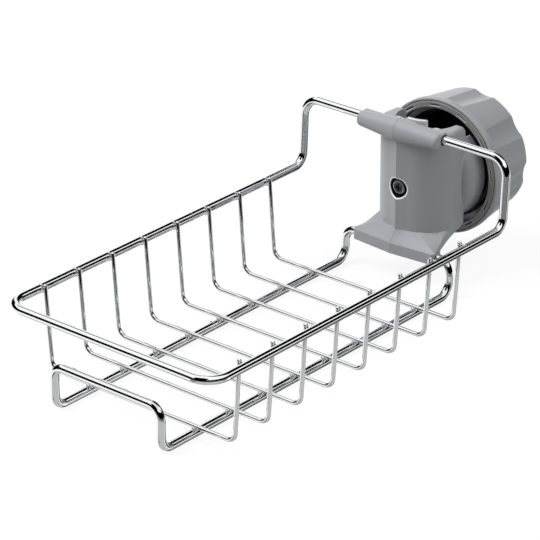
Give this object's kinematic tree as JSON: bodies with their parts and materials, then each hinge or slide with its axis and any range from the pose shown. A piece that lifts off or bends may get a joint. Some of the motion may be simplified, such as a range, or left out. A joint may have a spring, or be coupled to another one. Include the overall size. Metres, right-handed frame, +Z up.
{
  "type": "sponge holder",
  "caption": "Wire basket for a kitchen sponge that clamps to the neck of a tap with a plastic saddle, a pressure ring and a screw knob.",
  "frame": {"origin": "on the surface that the holder stands on, under the middle of its length and width", "axes": "+Y from the open front end to the knob, +Z up, +X to the right seen from the front"},
  "size_m": [0.1138, 0.2434, 0.0762],
  "materials": {
    "frame_wire": "polished plating",
    "rib_wire": "polished plating",
    "bracket_plastic": "satin moulded",
    "knob_plastic": "satin moulded",
    "ring_plastic": "satin moulded",
    "pad_rubber": "matte",
    "screw_steel": "black oxide"
  },
  "bodies": {
    "holder": {"upper_frame": "frame_wire", "lower_frame": "frame_wire", "rib_1": "rib_wire", "rib_2": "rib_wire", "rib_3": "rib_wire", "rib_4": "rib_wire", "rib_5": "rib_wire", "rib_6": "rib_wire", "rib_7": "rib_wire", "rib_8": "rib_wire", "front_cover": "bracket_plastic", "clamp_saddle": "bracket_plastic", "cover_screw": "screw_steel", "clamp_pad": "pad_rubber"},
    "clamp_ring": {"pressure_ring": "ring_plastic"},
    "clamp_knob": {"knob": "knob_plastic"}
  },
  "joints": [
    {"name": "ring_slide", "type": "slide", "parent": "holder", "child": "clamp_ring", "axis": [0, 1, 0], "range_m": [-0.004, 0.006]},
    {"name": "knob_turn", "type": "hinge", "parent": "clamp_ring", "child": "clamp_knob", "pos_m": [0, 0.1217, 0.0444], "axis": [0, 1, 0], "range_deg": [-360, 540]}
  ],
  "couplings": [
    {"joint": "ring_slide", "follows": "knob_turn", "m_per_rad": 0.00063662}
  ]
}
